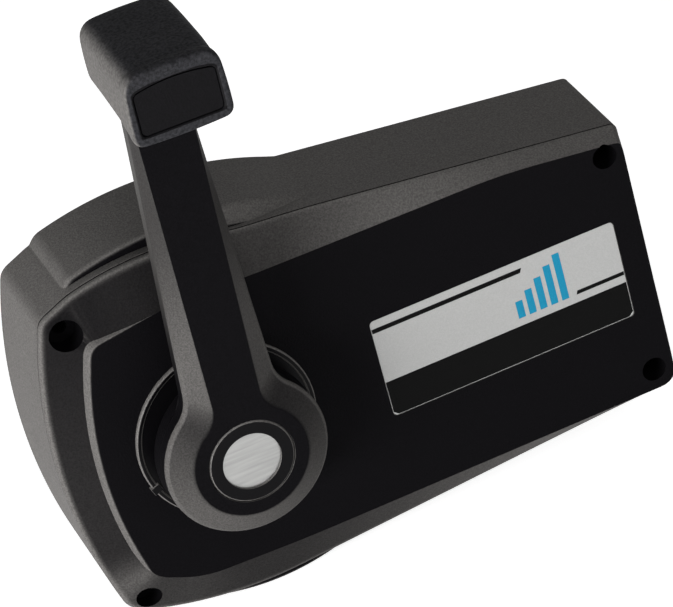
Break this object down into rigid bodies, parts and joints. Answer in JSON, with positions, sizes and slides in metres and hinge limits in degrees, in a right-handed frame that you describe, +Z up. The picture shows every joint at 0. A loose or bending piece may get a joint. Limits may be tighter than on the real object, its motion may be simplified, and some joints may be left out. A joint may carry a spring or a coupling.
{
  "type": "boat throttle control lever",
  "caption": "Side-mount boat control: one swinging lever with a grip on a shallow box, working a throttle cable and a shift cable through gears.",
  "frame": {"origin": "on the mounting face, on the axis the lever turns about", "axes": "+X along the box to the cable outlets, +Z up along the lever in neutral, +Y into the wall the box is mounted on; the lever stands out towards -Y"},
  "size_m": [0.2393, 0.1145, 0.2602],
  "materials": {
    "housing": "fine grained moulding, black",
    "back_plate": "black paint",
    "label": "printed foil",
    "lever_paint": "black textured paint on a casting",
    "grip_rubber": "finely mottled, dark grey",
    "black_trim": "satin black",
    "silver_disc": "brushed",
    "steel": "turned and zinc plated",
    "spring_steel": "drawn wire",
    "gear_steel": "cut, lightly greased",
    "brass": "turned",
    "bush_plastic": "natural acetal",
    "clamp_alloy": "die cast",
    "grommet_rubber": "soft black"
  },
  "bodies": {
    "box": {"front_cover": "housing", "rear_housing": "housing", "back_plate": "back_plate", "back_plate_screws": "steel", "cover_screws": "steel", "label_plate": "label", "main_bush": "bush_plastic", "rear_bush": "bush_plastic", "pivot_collar": "black_trim", "shift_stud": "steel", "shift_clip": "spring_steel", "detent_pivot_pin": "steel", "detent_spring": "spring_steel", "throttle_clamp_base": "clamp_alloy", "throttle_clamp_plate": "clamp_alloy", "shift_clamp_base": "clamp_alloy", "shift_clamp_plate": "clamp_alloy", "clamp_screws": "steel", "throttle_grommet": "grommet_rubber", "shift_grommet": "grommet_rubber"},
    "lever": {"lever_arm": "lever_paint", "arm_back_cover": "black_trim", "arm_cover_screws": "steel", "grip": "grip_rubber", "grip_pad": "black_trim", "grip_screw": "steel", "hub_washer": "steel", "hub_nut": "steel", "main_shaft": "steel", "shaft_clip": "spring_steel", "drive_gear": "gear_steel", "gear_spacer": "steel", "throttle_crank": "steel", "throttle_pin": "steel", "throttle_clip": "spring_steel", "button_spring": "spring_steel"},
    "button": {"button_cap": "black_trim", "button_disc": "silver_disc", "push_rod": "steel"},
    "throttle_swivel_body": {"throttle_swivel": "brass"},
    "shift": {"shift_bush": "bush_plastic", "shift_sector": "gear_steel", "shift_arm": "steel", "arm_spacer": "steel", "shift_pin": "steel", "shift_pin_clip": "spring_steel"},
    "shift_swivel_body": {"shift_swivel": "brass"},
    "detent": {"detent_arm": "steel", "roller_pin": "steel"},
    "roller": {"detent_roller": "bush_plastic"}
  },
  "joints": [
    {"name": "lever_swing", "type": "hinge", "parent": "box", "child": "lever", "pos_m": [0, -0.03, 0], "axis": [0, 1, 0], "range_deg": [-85, 85]},
    {"name": "button_press", "type": "slide", "parent": "lever", "child": "button", "axis": [0, 1, 0], "range_m": [0, 0.004], "stiffness_N_per_m": 1200, "springref_m": -0.001, "deforming": ["button_spring"]},
    {"name": "throttle_swivel_turn", "type": "hinge", "parent": "lever", "child": "throttle_swivel_body", "pos_m": [0.042, -0.03725, 0], "axis": [0, 1, 0], "range_deg": [-86, 86]},
    {"name": "shift_turn", "type": "hinge", "parent": "box", "child": "shift", "pos_m": [0.045, -0.02, 0], "axis": [0, 1, 0], "range_deg": [-43, 43]},
    {"name": "shift_swivel_turn", "type": "hinge", "parent": "shift", "child": "shift_swivel_body", "pos_m": [0.045, -0.01025, -0.036], "axis": [0, 1, 0], "range_deg": [-43, 43]},
    {"name": "detent_lift", "type": "hinge", "parent": "box", "child": "detent", "pos_m": [-0.022, -0.0396, -0.046], "axis": [0, -1, 0], "range_deg": [0, 5], "stiffness_Nm_per_rad": 1.5, "springref_deg": -5.73, "deforming": ["detent_spring"]},
    {"name": "detent_roller_spin", "type": "hinge", "parent": "detent", "child": "roller", "pos_m": [-0.0289, -0.044, -0.02025], "axis": [0, 1, 0], "continuous": true}
  ],
  "couplings": [
    {"joint": "throttle_swivel_turn", "follows": "lever_swing", "ratio": -1},
    {"joint": "shift_turn", "follows": "lever_swing", "ratio": -0.5},
    {"joint": "shift_swivel_turn", "follows": "lever_swing", "ratio": 0.5}
  ]
}
